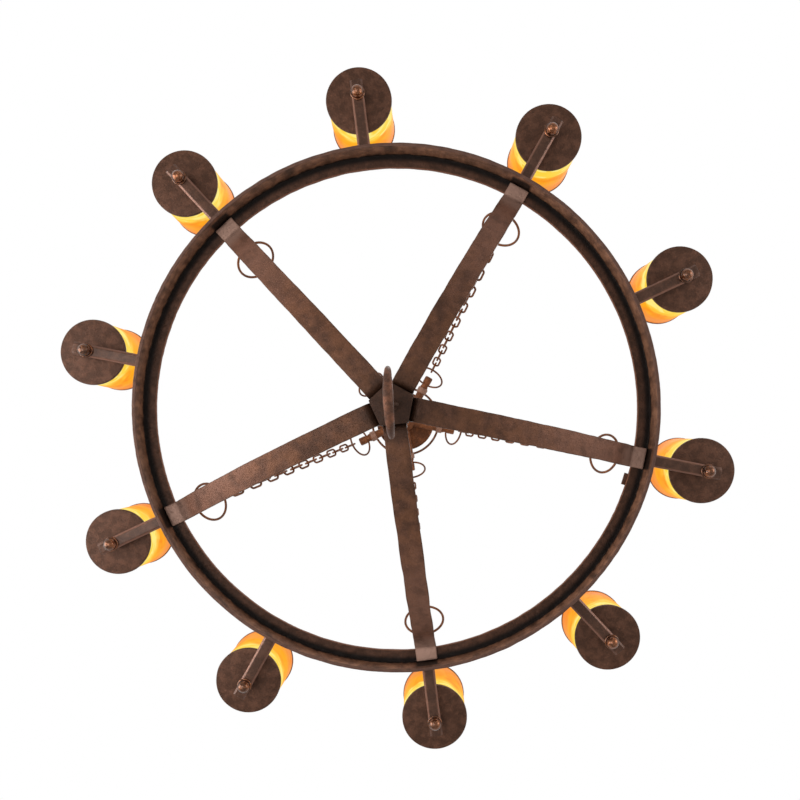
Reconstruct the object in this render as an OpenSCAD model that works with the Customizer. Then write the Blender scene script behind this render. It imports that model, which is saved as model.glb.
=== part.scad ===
// Wagon wheel chandelier: a rolled iron rim on five dished spokes, hung by five
// chains from a small top hub, with ten candle lamps on flat arms around it.
// The frame's origin is the middle of the hanging eye, +Z is up, and lamp 1 and
// spoke 1 point along +X.

/* [Rim] */
// Outside diameter of the rolled rim
rim_d = 778; // [720:2:840]
// Height of the upright leg that hangs down outside
rim_h = 38; // [30:1:44]
// Width of the flat leg that points inwards
rim_w = 24; // [22:1:28]
// Thickness of both legs
rim_t = 5; // [4:0.5:6]

/* [Spokes] */
// Width of a spoke's strap
spoke_w = 32; // [26:1:34]
// Thickness of a spoke's strap
spoke_t = 5; // [4:0.5:6]
// How far the spokes' belly lies below their feet
spoke_drop = 146; // [110:2:170]
// Length of the flat foot under the rim
foot_l = 18; // [14:1:19]

/* [Bottom hub] */
// Distance from the pentagon's middle to its sides
hub_in_r = 25; // [25:1:30]
// Height of the pentagonal block
hub_h = 36; // [30:1:44]
// Outside diameter of the ring that hangs under the hub
drop_ring_d = 89; // [76:1:100]
// Thickness of its bar at the bottom
drop_ring_bar = 12.5; // [10:0.5:13]

/* [Lamps] */
// Radius of the circle that the lamps stand on
lamp_circle_r = 482.6; // [470:0.1:500]
// Diameter of a drip pan
pan_d = 102; // [98:1:106]
// Height of a shade with its band
shade_h = 103.4; // [98:0.1:120]
// Width of an arm
arm_w = 19; // [17:1:22]
// Thickness of an arm
arm_t = 5; // [4:0.5:6]
// Length of arm past the lamp's middle
arm_tail = 21; // [18:1:26]

/* [Chains] */
// Diameter of the chain's wire
wire_d = 4; // [3:0.2:4]
// Inside length of a link
link_in_l = 24.8; // [24:0.2:26]
// Inside width of a link
link_in_w = 9.5; // [9:0.5:11]
// Links between the two rings of a chain, an odd number
link_count = 17; // [13:2:19]
// Diameter of a ring to the middle of its wire
ring_d = 64; // [58:1:70]

/* [Top hub] */
// Diameter of the cover plate
plate_d = 133; // [110:1:134]
// Diameter of the wire hoop to the middle of its wire
hoop_d = 154; // [152:1:160]
// Distance from the hub's middle to a peg's tip
peg_r = 115; // [112:1:120]

/* [Hidden] */
lamps = 10;
spokes = 5;
$fn = 48;

first_lamp = 0;                       // degrees from +X to lamp 1
lamp_step = 360 / lamps;
spoke_step = 360 / spokes;
gap = 0.3;                            // play between links, and wherever a part can move

// Heights above the drip pans' underside.
spacer_h = 17;
arm_top = -spacer_h;
arm_low = arm_top - arm_t;
flange_low = arm_low - rim_t;
foot_mid = flange_low - spoke_t / 2;
belly_mid = foot_mid - spoke_drop;

// Spoke: one long arc, a small bend to the foot, and a small bend up the hub's side.
rim_r = rim_d / 2;
rim_in_r = rim_r - rim_w;
bend_r = 9;
run = rim_in_r - 1;
dish_angle = 2 * atan(spoke_drop / run);
dish_r = run / sin(dish_angle) - bend_r;
leg_mid_r = hub_in_r + spoke_t / 2;
leg_bend_at = (leg_mid_r + bend_r) / (1 - bend_r / dish_r);
leg_angle = asin(leg_bend_at / dish_r);
leg_bend_z = belly_mid + dish_r * (1 - cos(leg_angle));
leg_low = leg_bend_z + bend_r * cos(leg_angle);
hub_low = belly_mid - spoke_t / 2 - 8.5;
hub_top = hub_low + hub_h;
rivet_z = (leg_low + hub_top) / 2;
rivet_d = 5;

// Drop ring and its eye.
drop_top_h = 7;                       // height and width of the ring's bar at the top
drop_top_w = 6.5;
drop_ring_r = (drop_ring_d - drop_ring_bar) / 2;
hub_eye_wire = 4.5;
hub_eye_r = norm([drop_top_h, drop_top_w]) / 2 + gap + hub_eye_wire / 2;
hub_eye_z = hub_low - 14;
drop_pivot_z = hub_eye_z;
drop_ring_z = drop_pivot_z + drop_top_h / 2 - drop_ring_d / 2;
drop_ring_turn = 76;                  // degrees from +X to the drop ring's plane

// Lamp parts.
stem_d = 10;
stem_hole = 10.2;
nut_r = 9.8;
pan_t = 1.5;
pan_lip = 5;
shade_r = 49;
shade_wall = 3;
shade_top_r = 50.6;                   // the tube widens a little towards its band
band_r = 51.8;
band_h = 3.5;
shade_low = pan_t + gap;
socket_h = 28;
socket_hole = 13;
bulb_r = 17;

// Chain, from the peg's hole down to the tab's hole, along the chain.
wire_r = wire_d / 2;
link_arc_r = (link_in_w + wire_d) / 2;
pitch = link_in_l - gap;
peg_hole_r = 5.5;
tab_hole_r = 5;
tab_t = 5;
peg_hole_at = peg_r - 20;
tab_hole_at = rim_r + 3;
tab_hole_z = arm_top + 31;
ring_r = ring_d / 2;
ring_to_link = ring_r - wire_d - gap + link_in_l / 2 + wire_r;
top_ring_s = peg_hole_r - wire_r - 1.7 + ring_r;
low_ring_s = top_ring_s + 2 * ring_to_link + (link_count - 1) * pitch;
tab_link_s = low_ring_s + ring_to_link + pitch;
tab_hole_s = tab_link_s + link_in_l / 2 + wire_r + tab_hole_r - wire_r - 0.8;
chain_run = tab_hole_at - peg_hole_at;
chain_rise = sqrt(tab_hole_s * tab_hole_s - chain_run * chain_run);
chain_lean = atan(chain_rise / chain_run);

// Top hub.
peg_z = tab_hole_z + chain_rise;
peg_d = 18;
collar_d = 23;
collar_from = 74;
collar_to = 86;
boss_d = 44;
plate_z = peg_z + 16;
plate_t = 3;
hoop_wire = 5;
eye_z = peg_z + 60;
eye_r = 18.1;
eye_wire_r = 4.5;
eye_bore_r = 14;

IRON = [0.24, 0.16, 0.12];
LIT_IRON = [0.42, 0.24, 0.14];
AMBER = [1.0, 0.62, 0.18];

module from_eye() translate([0, 0, -eye_z]) children();
module at_lamp(i) rotate([0, 0, first_lamp + lamp_step * (i - 1)]) children();
module at_spoke(i) rotate([0, 0, first_lamp + spoke_step * (i - 1)]) children();

// A round wire bent to a circle about Z.
module wire_ring(r, wire) rotate_extrude($fn = 96) translate([r, 0]) circle(d = wire, $fn = 24);

// A tube about Z from z = low to low + h.
module sleeve(outer_d, inner_d, low, h) translate([0, 0, low]) difference() {
    cylinder(d = outer_d, h = h);
    translate([0, 0, -1]) cylinder(d = inner_d, h = h + 2);
}

// An L-section rolled into a hoop: flat leg inwards on top, upright leg hanging down.
module rim() color(IRON) from_eye() rotate_extrude($fn = 180) {
    translate([rim_in_r, flange_low]) square([rim_w, rim_t]);
    translate([rim_r - rim_t, arm_low - rim_h]) square([rim_t, rim_h]);
}

// Points of an arc in a spoke's side view, with angles measured from straight down.
function arc(r, x, z, a1, a2, steps) =
    [for (k = [0:steps]) let (a = a1 + (a2 - a1) * k / steps) [x + r * sin(a), z - r * cos(a)]];

// One side of the strap in its side view, off from its middle line: down the leg, round
// the hub's bend, along the dished belly and round the small bend to the foot.
function strap_side(off) = concat(
    [[leg_mid_r - off, hub_top]],
    arc(bend_r + off, leg_mid_r + bend_r, leg_low, -90, leg_angle, 12),
    arc(dish_r + off, 0, belly_mid + dish_r, leg_angle, dish_angle, 28),
    arc(bend_r - off, run, foot_mid - bend_r, 180 + dish_angle, 180, 8),
    [[run + foot_l, foot_mid - off]]);

module spoke(i) color(IRON) from_eye() at_spoke(i) difference() {
    near = strap_side(spoke_t / 2);
    far = strap_side(-spoke_t / 2);
    translate([0, spoke_w / 2, 0]) rotate([90, 0, 0]) linear_extrude(spoke_w)
        polygon(concat(near, [for (k = [len(far) - 1:-1:0]) far[k]]));
    translate([0, 0, rivet_z]) rotate([0, 90, 0]) cylinder(d = rivet_d + 0.2, h = 60, $fn = 24);
}

// The pentagonal block that the spokes are riveted to, one on each side.
module hub() color(IRON) from_eye() difference() {
    rotate([0, 0, first_lamp + 36]) translate([0, 0, hub_low])
        cylinder(r = hub_in_r / cos(36), h = hub_h, $fn = 5);
    translate([0, 0, hub_low - 1]) cylinder(d = 8.2, h = hub_h + 2, $fn = 32);
    for (i = [1:spokes]) at_spoke(i)
        translate([hub_in_r - 11, 0, rivet_z]) rotate([0, 90, 0])
            cylinder(d = rivet_d + 0.2, h = 20, $fn = 24);
}

module spoke_rivets() color(IRON) from_eye() for (i = [1:spokes]) at_spoke(i)
    translate([hub_in_r - 10.5, 0, rivet_z]) rotate([0, 90, 0]) {
        cylinder(d = rivet_d, h = spoke_t + 10.5, $fn = 24);
        translate([0, 0, spoke_t + 10.5]) intersection() {
            cylinder(d = 10, h = 3.5, $fn = 32);
            translate([0, 0, -3]) sphere(r = 6.2, $fn = 32);
        }
    }

// An eye screw through the hub; the drop ring swings in it.
module hub_eye() color(IRON) from_eye() rotate([0, 0, drop_ring_turn]) {
    translate([0, 0, hub_eye_z]) rotate([0, 90, 0]) wire_ring(hub_eye_r, hub_eye_wire);
    translate([0, 0, hub_eye_z + hub_eye_r]) cylinder(d = 8, h = hub_top - hub_eye_z - hub_eye_r + 12, $fn = 32);
    translate([0, 0, hub_low - 2.5]) cylinder(d = 15, h = 2.5, $fn = 32);
    translate([0, 0, hub_top]) cylinder(d = 14, h = 6.5, $fn = 6);
}

// A heavy ring whose bar is forged thinner towards the top, where it hangs in the eye:
// narrower between two flat arcs, and lower because its inside is cut on a raised circle.
module drop_ring() color(IRON) from_eye() rotate([0, 0, drop_ring_turn])
    translate([0, 0, drop_ring_z]) difference() {
        intersection() {
            rotate([90, 0, 0]) wire_ring(drop_ring_r, drop_ring_bar);
            rotate([90, 0, 90]) linear_extrude(2 * drop_ring_d, center = true)
                polygon(concat(drop_ring_side(1), drop_ring_side(-1)));
        }
        translate([0, 0, drop_ring_bar - drop_top_h]) rotate([90, 0, 0])
            cylinder(r = drop_ring_r - drop_ring_bar / 2, h = 40, center = true, $fn = 96);
    }

// One edge of the drop ring's side view, from the bottom up or back: 12.5 wide at the
// bottom, and thinning on a parabola towards the top.
function drop_ring_side(side) = [for (k = [0:12]) let (
        t = side > 0 ? k / 12 : 1 - k / 12,
        w = drop_top_w / 2 + (drop_ring_bar - drop_top_w) / 2 * (1 - t) * (1 - t))
    [side * w, (t - 0.5) * (drop_ring_d + 2)]];

// A flat bar with both lower edges bevelled, drilled for the lamp's stem.
module arm(i) color(IRON) from_eye() at_lamp(i) difference() {
    translate([rim_in_r + 2, 0, arm_low]) rotate([90, 0, 90])
        linear_extrude(lamp_circle_r + arm_tail - rim_in_r - 2)
            polygon([
                [-arm_w / 2 + 3.2, 0], [arm_w / 2 - 3.2, 0], [arm_w / 2, 2.2],
                [arm_w / 2, arm_t], [-arm_w / 2, arm_t], [-arm_w / 2, 2.2],
            ]);
    translate([lamp_circle_r, 0, arm_low - 1]) cylinder(d = stem_hole, h = arm_t + 2);
}

// A shallow dish with a rolled lip that keeps the shade in place.
module pan(i) color(IRON) from_eye() at_lamp(i) translate([lamp_circle_r, 0, 0])
    rotate_extrude($fn = 96) {
        translate([stem_hole / 2, 0]) square([pan_d / 2 - stem_hole / 2 - 1, pan_t]);
        translate([pan_d / 2 - 1.4, 0]) square([1.4, pan_lip - 0.8]);
        translate([pan_d / 2 - 0.8, pan_lip - 0.8]) circle(r = 0.8, $fn = 24);
    }

// An open amber tube, a little wider at the top, with a narrow band around its edge there.
module shade(i) color(AMBER) from_eye() at_lamp(i) translate([lamp_circle_r, 0, shade_low])
    rotate_extrude($fn = 96) {
        polygon([
            [shade_r - shade_wall, 0], [shade_r, 0],
            [shade_top_r, shade_h - 1], [shade_top_r - shade_wall, shade_h - 1],
        ]);
        translate([shade_top_r - shade_wall - 0.8, shade_h - band_h])
            square([band_r - shade_top_r + shade_wall + 0.8, band_h]);
    }

module spacers() color(IRON) from_eye() for (i = [1:lamps]) at_lamp(i)
    translate([lamp_circle_r, 0, 0]) sleeve(16, stem_hole, arm_top, spacer_h);

// Threaded tubes that clamp nut, arm, spacer, pan and socket together.
module lamp_stems() color("goldenrod") from_eye() for (i = [1:lamps]) at_lamp(i)
    translate([lamp_circle_r, 0, 0]) sleeve(stem_d, 7, arm_low - 8, spacer_h + arm_t + 8 + 8);

// Dome nuts under the arms, on a turned shoulder.
module dome_nuts() color(LIT_IRON) from_eye() for (i = [1:lamps]) at_lamp(i)
    translate([lamp_circle_r, 0, arm_low]) rotate([180, 0, 0]) rotate_extrude($fn = 48)
        difference() {
            union() {
                square([nut_r + 1.3, 2.5]);
                translate([0, 2.5]) square([nut_r, 2]);
                intersection() {
                    translate([0, 4.5]) circle(r = nut_r, $fn = 64);
                    translate([0, 4.5]) square([nut_r + 1, nut_r + 1]);
                }
            }
            translate([-1, -1]) square([stem_hole / 2 + 1, 10]);
        }

// Candelabra sockets: a flanged cup that the bulb screws into.
module sockets() color("ivory") from_eye() for (i = [1:lamps]) at_lamp(i)
    translate([lamp_circle_r, 0, pan_t]) rotate_extrude($fn = 48) difference() {
        union() {
            square([17, 4]);
            square([11, socket_h]);
        }
        translate([-1, -1]) square([stem_hole / 2 + 1, 8]);
        translate([-1, 9]) square([socket_hole / 2 + 1, socket_h]);
    }

// Short candle bulbs, each with its screw base in the socket.
module bulbs() color("lightyellow") from_eye() for (i = [1:lamps]) at_lamp(i)
    translate([lamp_circle_r, 0, pan_t + socket_h]) rotate_extrude($fn = 48) {
        translate([0, -17]) square([6, 18]);
        polygon(concat(
            [[0, 0], [7, 0]],
            [for (a = [-50:10:80]) [bulb_r * cos(a), 17 + (a < 0 ? 20 : 48) * sin(a)]],
            [[0, 66]]));
    }

// One oval link along X, lying in the XY plane.
module link() {
    half = link_in_l / 2 + wire_r - link_arc_r;
    for (side = [0, 1]) mirror([side, 0, 0]) translate([half, 0, 0])
        rotate([0, 0, -90]) rotate_extrude(angle = 180, $fn = 48)
            translate([link_arc_r, 0]) circle(d = wire_d, $fn = 16);
    for (side = [-1, 1]) translate([-half, side * link_arc_r, 0]) rotate([0, 90, 0])
        cylinder(d = wire_d, h = 2 * half, $fn = 16);
}

// Moves to a distance s along a chain from the peg's hole, with X down the chain.
module along_chain(i, s) from_eye() at_spoke(i) translate([peg_hole_at, 0, peg_z])
    rotate([0, chain_lean, 0]) translate([s, 0, 0]) children();

module chain(i) color(IRON) {
    for (n = [0:link_count - 1])
        along_chain(i, top_ring_s + ring_to_link + n * pitch)
            rotate([n % 2 == 0 ? 90 : 0, 0, 0]) link();
    along_chain(i, low_ring_s + ring_to_link) rotate([90, 0, 0]) link();
    along_chain(i, tab_link_s) link();
}

// A large ring at each end of each chain.
module chain_rings() color(LIT_IRON) for (i = [1:spokes]) for (s = [top_ring_s, low_ring_s])
    along_chain(i, s) wire_ring(ring_r, wire_d);

// Upright drilled tabs on the arms, where the chains hold the wheel.
module chain_tabs() color(IRON) from_eye() for (i = [1:spokes]) at_spoke(i)
    translate([tab_hole_at, tab_t / 2, 0]) rotate([90, 0, 0]) linear_extrude(tab_t) difference() {
        union() {
            translate([0, tab_hole_z]) circle(r = 11, $fn = 48);
            translate([-11, arm_top]) square([22, tab_hole_z - arm_top]);
        }
        translate([0, tab_hole_z]) circle(r = tab_hole_r, $fn = 32);
    }

// Turned boss in the middle of the top hub, drilled for five pegs and the eye.
module top_boss() color(LIT_IRON) from_eye() difference() {
    translate([0, 0, peg_z]) rotate_extrude($fn = 64) polygon([
        [0, -16], [12, -16], [22, -10], [22, 12], [18, 16], [0, 16],
    ]);
    for (i = [1:spokes]) at_spoke(i) translate([13, 0, peg_z]) rotate([0, 90, 0])
        cylinder(d = 10.2, h = 20, $fn = 32);
    translate([0, 0, peg_z + 2]) cylinder(d = 8.2, h = 20, $fn = 32);
}

// Radial pegs, turned with a tenon for the boss, a collar under the hoop and an eased tip,
// each with a cross hole for a ring.
module pegs() color(LIT_IRON) from_eye() for (i = [1:spokes]) at_spoke(i)
    translate([0, 0, peg_z]) difference() {
        rotate([0, 90, 0]) rotate_extrude($fn = 48) polygon([
            [0, 14], [5, 14], [5, 22], [peg_d / 2, 22],
            [peg_d / 2, collar_from - 1.5], [collar_d / 2, collar_from],
            [collar_d / 2, collar_to], [peg_d / 2, collar_to + 1.5],
            [peg_d / 2, peg_r - 1.5], [peg_d / 2 - 1.5, peg_r], [0, peg_r],
        ]);
        translate([peg_hole_at, 0, 0]) rotate([90, 0, 0])
            cylinder(r = peg_hole_r, h = 40, center = true, $fn = 32);
    }

module hoop() color(LIT_IRON) from_eye()
    translate([0, 0, peg_z + collar_d / 2 + hoop_wire / 2]) wire_ring(hoop_d / 2, hoop_wire);

// A shallow domed cover on the boss, its edge turned down a little.
module top_plate() color(LIT_IRON) from_eye() difference() {
    translate([0, 0, plate_z]) rotate_extrude($fn = 96) polygon(concat(
        [[0, 0]],
        [for (a = [0:10:90]) [24 + (plate_d / 2 - 24 - 4) * a / 90, 5 * sin(a)]],
        [[plate_d / 2, 3], [plate_d / 2, 3 + plate_t]],
        [for (a = [90:-10:0]) [24 + (plate_d / 2 - 24 - 4) * a / 90, plate_t + 5 * sin(a)]],
        [[0, plate_t]]));
    translate([0, 0, plate_z - 1]) cylinder(d = 8.2, h = 20, $fn = 32);
}

// The eye that the whole light hangs by; its inner side is filed flat to a true bore.
module hang_eye() color(LIT_IRON) {
    rotate([0, 90, 0]) rotate_extrude($fn = 96) intersection() {
        translate([eye_r, 0]) circle(r = eye_wire_r, $fn = 32);
        translate([eye_bore_r, -10]) square([20, 20]);
    }
    from_eye() translate([0, 0, peg_z + 3])
        cylinder(d = 8, h = eye_z - eye_r - peg_z - 3, $fn = 32);
    from_eye() translate([0, 0, plate_z + plate_t + 7])
        cylinder(d = 16, h = 5, $fn = 32);
}

module hang_nut() color("dimgray") from_eye() translate([0, 0, plate_z + plate_t])
    difference() {
        cylinder(d = 17, h = 7, $fn = 6);
        translate([0, 0, -1]) cylinder(d = 8.2, h = 9, $fn = 32);
    }

// A small saddle clip on the rim's flat leg, beside the first spoke.
module wire_clip() color(IRON) from_eye() rotate([0, 0, first_lamp + 5.6])
    translate([rim_in_r - 5, 0, arm_low]) difference() {
        union() {
            translate([0, -9, 0]) cube([20, 18, 2]);
            translate([7, 9, 5]) rotate([90, 0, 0]) cylinder(d = 12, h = 18, $fn = 32);
        }
        translate([7, 20, 5]) rotate([90, 0, 0]) cylinder(d = 9, h = 40, $fn = 32);
        translate([-5, -20, -10]) cube([40, 40, 10]);
    }

rim();
hub();
hub_eye();
drop_ring();
spoke_rivets();
for (i = [1:spokes]) spoke(i);
for (i = [1:lamps]) arm(i);
for (i = [1:lamps]) pan(i);
for (i = [1:lamps]) shade(i);
for (i = [1:spokes]) chain(i);
chain_rings();
chain_tabs();
spacers();
lamp_stems();
dome_nuts();
sockets();
bulbs();
top_plate();
top_boss();
pegs();
hoop();
hang_eye();
hang_nut();
wire_clip();
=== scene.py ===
"""Looks of the wagon wheel chandelier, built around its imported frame."""

import math

import bpy
import numpy as np
from mathutils import Matrix, Vector


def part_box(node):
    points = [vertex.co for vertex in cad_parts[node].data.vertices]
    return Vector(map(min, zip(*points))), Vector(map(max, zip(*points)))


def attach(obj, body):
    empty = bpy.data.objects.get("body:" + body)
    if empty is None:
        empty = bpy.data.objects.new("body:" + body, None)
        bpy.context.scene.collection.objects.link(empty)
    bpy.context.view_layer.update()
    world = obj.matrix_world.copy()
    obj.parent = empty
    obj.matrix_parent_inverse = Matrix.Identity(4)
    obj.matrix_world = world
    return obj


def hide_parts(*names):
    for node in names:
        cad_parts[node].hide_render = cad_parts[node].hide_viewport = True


bl_info = {
    "name": "Wagon Wheel Chandelier",
    "version": (1, 0, 0),
    "blender": (4, 5, 0),
    "location": "View3D > Sidebar > Chandelier",
    "description": "Dresses the chandelier's frame with forged iron, amber glass and chain",
    "category": "Add Mesh",
}

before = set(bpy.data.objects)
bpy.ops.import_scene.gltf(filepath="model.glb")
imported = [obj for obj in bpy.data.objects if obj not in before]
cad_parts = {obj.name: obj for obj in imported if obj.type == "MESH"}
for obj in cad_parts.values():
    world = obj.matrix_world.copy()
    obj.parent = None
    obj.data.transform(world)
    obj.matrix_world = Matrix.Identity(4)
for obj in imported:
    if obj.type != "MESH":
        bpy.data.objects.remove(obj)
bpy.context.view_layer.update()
LAMPS = 10
SPOKES = 5
PAN_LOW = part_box("pan_1")[0].z
LAMP_R = (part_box("pan_1")[0].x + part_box("pan_1")[1].x) / 2
MM = 0.001

# Tones, in linear red, green and blue, that don't change with the finish.
# Near-black painted shade for the rim's inner corner and painted shadow beyond each strap's foot.
DEEP_SHADE = (0.003, 0.0015, 0.0008)
# Painted shade under the rim's flat leg and in the straps' bends at the hub.
THIN_SHADE = (0.010, 0.006, 0.004)
# Painted shade over the whole hub block and its eye.
HUB_SHADE = (0.012, 0.0065, 0.0040)
LOW_EDGE = (0.080, 0.044, 0.036)

# Holes that the chains hang in, in metres: the pegs' radius, the play of a ring's wire in it,
# and how far in the holes lie from the ends of the pegs and of the tabs.
PEG_HOLE_R = 0.0055
RING_PLAY = 0.0017
PEG_HOLE_IN = 0.020
TAB_HOLE_IN = 0.011


# ---------------------------------------------------------------- properties


def length(name, about, millimetres):
    """A length property that is given in millimetres and kept in metres."""
    return bpy.props.FloatProperty(
        name=name, description=about, default=millimetres * MM, unit="LENGTH", precision=4)


def colour(name, about, rgb):
    """A colour property in linear red, green and blue."""
    return bpy.props.FloatVectorProperty(
        name=name, description=about, default=rgb, subtype="COLOR", size=3, min=0, max=1)


def scalar(name, about, default, **more):
    """A number property, with its limits or subtype where it has them."""
    return bpy.props.FloatProperty(name=name, description=about, default=default, **more)


class ChandelierIron(bpy.types.PropertyGroup):
    """Finish of the ironwork."""

    dark: colour("Dark", "Darkest patches of the brown finish", (0.052, 0.024, 0.014))
    middle: colour("Middle", "Usual brown of the finish", (0.105, 0.048, 0.029))
    rusty: colour("Rusty", "Reddish patches and worn edges", (0.19, 0.075, 0.040))
    # These three tones are painted light: the shades' warm glow on the upper ironwork, chains and
    # nuts.
    lamplit_dark: colour("Warm dark", "Dark patches of the upper ironwork", (0.095, 0.030, 0.010))
    lamplit_middle: colour("Warm middle", "Usual brown of the upper ironwork", (0.20, 0.066, 0.022))
    lamplit_rusty: colour("Warm rusty", "Bright patches of the upper ironwork", (0.32, 0.13, 0.06))
    # Also lightens the straps towards the rim and the arms' bevels, partly as painted light.
    worn: colour("Worn", "Lighter, rubbed places", (0.23, 0.105, 0.068))
    # Also paints the highlights on the straps' feet and the pegs' collars.
    pale: colour("Pale", "Most rubbed places", (0.42, 0.26, 0.20))
    ruddy: colour("Ruddy", "Warm patches of the straps", (0.21, 0.085, 0.038))
    # Also painted light: this tone makes the upright leg lighter than the flat leg.
    rubbed: colour("Rubbed", "Mottling of the rim's upright leg", (0.36, 0.170, 0.096))
    patch: length("Patch", "Size of the finish's cloudy patches", 14)
    grain: length("Grain", "Size of the finish's fine grain", 1.6)
    rough: scalar("Roughness", "Mean roughness", 0.46, min=0, max=1)


class ChandelierForging(bpy.types.PropertyGroup):
    """Sizes of the iron pieces that the frame's boxes don't give."""

    strap_t: length("Strap thickness", "Thickness of a spoke's strap", 5)
    dish: length("Dish", "Depth of the straps' belly below their feet", 146)
    bend_r: length("Bend radius", "Radius of the small bends in a strap, to its middle", 9)
    rim_t: length("Rim thickness", "Thickness of the rim's two legs", 5)
    rim_w: length("Rim width", "Width of the rim's flat leg", 24)
    edge_r: length("Edge radius", "Rounding of the straps' and rim's edges", 1.1)
    hammer: length("Hammering", "Depth of the unevenness of hammered surfaces", 0.35)
    bevel_w: length("Bevel width", "Width of the arms' lower bevels", 3.2)
    bevel_h: length("Bevel height", "Height of the arms' lower bevels", 2.2)
    dome_r: length("Dome radius", "Radius of the nuts' domes", 9.8)
    link_wire: length("Chain wire", "Diameter of the chain's wire", 4)
    link_in_l: length("Link length", "Inside length of a link", 24.8)
    link_in_w: length("Link width", "Inside width of a link", 9.5)
    gap: length("Link play", "Play between two links", 0.3)
    links: bpy.props.IntProperty(
        name="Links", description="Links between a chain's rings", default=17, min=3)
    ring_d: length("Ring diameter", "Diameter of a chain ring to its wire's middle", 64)


class ChandelierLamps(bpy.types.PropertyGroup):
    """Sizes, colours and light of the amber shades and their bulbs."""

    foot_r: length("Foot radius", "Outside radius of a shade at its foot", 49)
    top_r: length("Top radius", "Outside radius of a shade at its top", 50.6)
    wall: length("Wall", "Thickness of the glass", 3)
    band_h: length("Band height", "Height of the metal band", 3.5)
    bulb_r: length("Bulb radius", "Widest radius of a bulb", 16.8)
    # The edge tone is a painted shadow of the pan's lip on the glass's foot.
    edge: colour("Edge", "Colour of the lit glass at its foot", (0.80, 0.30, 0.01))
    low: colour("Low", "Colour of the lit glass by the pan", (0.98, 0.66, 0.045))
    middle: colour("Middle", "Colour of the lit glass at half height", (1.0, 0.41, 0.0))
    deep: colour("Deep", "Deep spots in the lit glass", (0.95, 0.24, 0.0))
    high: colour("High", "Colour of the lit glass under the band", (0.88, 0.29, 0.065))
    vein: colour("Vein", "Pale veins in the glass", (1.0, 0.86, 0.24))
    glow: scalar("Glow", "Strength of the lit glass", 0.95, min=0)
    bulb: colour("Bulb", "Colour of the lit bulb", (1.0, 0.80, 0.48))
    bulb_glow: scalar("Bulb glow", "Strength of the bulb", 1.15, min=0)


class ChandelierStage(bpy.types.PropertyGroup):
    """Camera, lights and floor."""

    camera_x: length("Camera x", "Camera's place to the photo's right of the wheel's middle", 39.19)
    camera_y: length("Camera y", "Camera's place below the wheel's middle in the photo", 47.09)
    camera_down: length("Camera depth", "Camera's height below the drip pans", 1090.6)
    lean_right: scalar(
        "Lean right", "Camera's turn about the photo's upright", 0.00728, subtype="ANGLE")
    lean_down: scalar(
        "Lean down", "Camera's turn about the photo's level", 0.02103, subtype="ANGLE")
    turn: scalar("Turn", "Angle of lamp 1 in the photo", 0.192162, subtype="ANGLE")
    lens: scalar("Lens", "Focal length on a 36 mm sensor, in mm", 31.547)
    shift_x: scalar("Shift x", "Sideways shift of the frame", -0.0214)
    shift_y: scalar("Shift y", "Upward shift of the frame", 0.0705)
    floor_z: length("Floor", "Height of the floor below the hanging eye", -2900)
    fill: scalar("Fill", "Strength of the even light", 0.60)


# ---------------------------------------------------------------- shader maths


class Value:
    """A shader number: wraps an output socket, so that expressions add Math nodes."""

    def __init__(self, shader, socket):
        self.shader = shader
        self.socket = socket

    def math(self, operation, *values, clamp=False):
        """The Math node's result for these values."""
        settings = {"operation": operation, "use_clamp": clamp}
        node = self.shader.node("ShaderNodeMath", settings, dict(enumerate(values)))
        return Value(self.shader, node.outputs[0])

    def __add__(self, other):
        return self.math("ADD", self, other)

    def __sub__(self, other):
        return self.math("SUBTRACT", self, other)

    def __rsub__(self, other):
        return self.math("SUBTRACT", other, self)

    def __mul__(self, other):
        return self.math("MULTIPLY", self, other)

    def __truediv__(self, other):
        return self.math("DIVIDE", self, other)

    def __pow__(self, other):
        return self.math("POWER", self, other)

    __radd__ = __add__
    __rmul__ = __mul__

    def clamped(self):
        """The value held between 0 and 1."""
        return self.math("ADD", self, 0.0, clamp=True)

    def step(self, low, high):
        """A smooth rise from 0 at low to 1 at high."""
        node = self.shader.node(
            "ShaderNodeMapRange", {"interpolation_type": "SMOOTHSTEP"},
            {"Value": self, "From Min": low, "From Max": high, "To Min": 0.0, "To Max": 1.0})
        return Value(self.shader, node.outputs[0])


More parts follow.
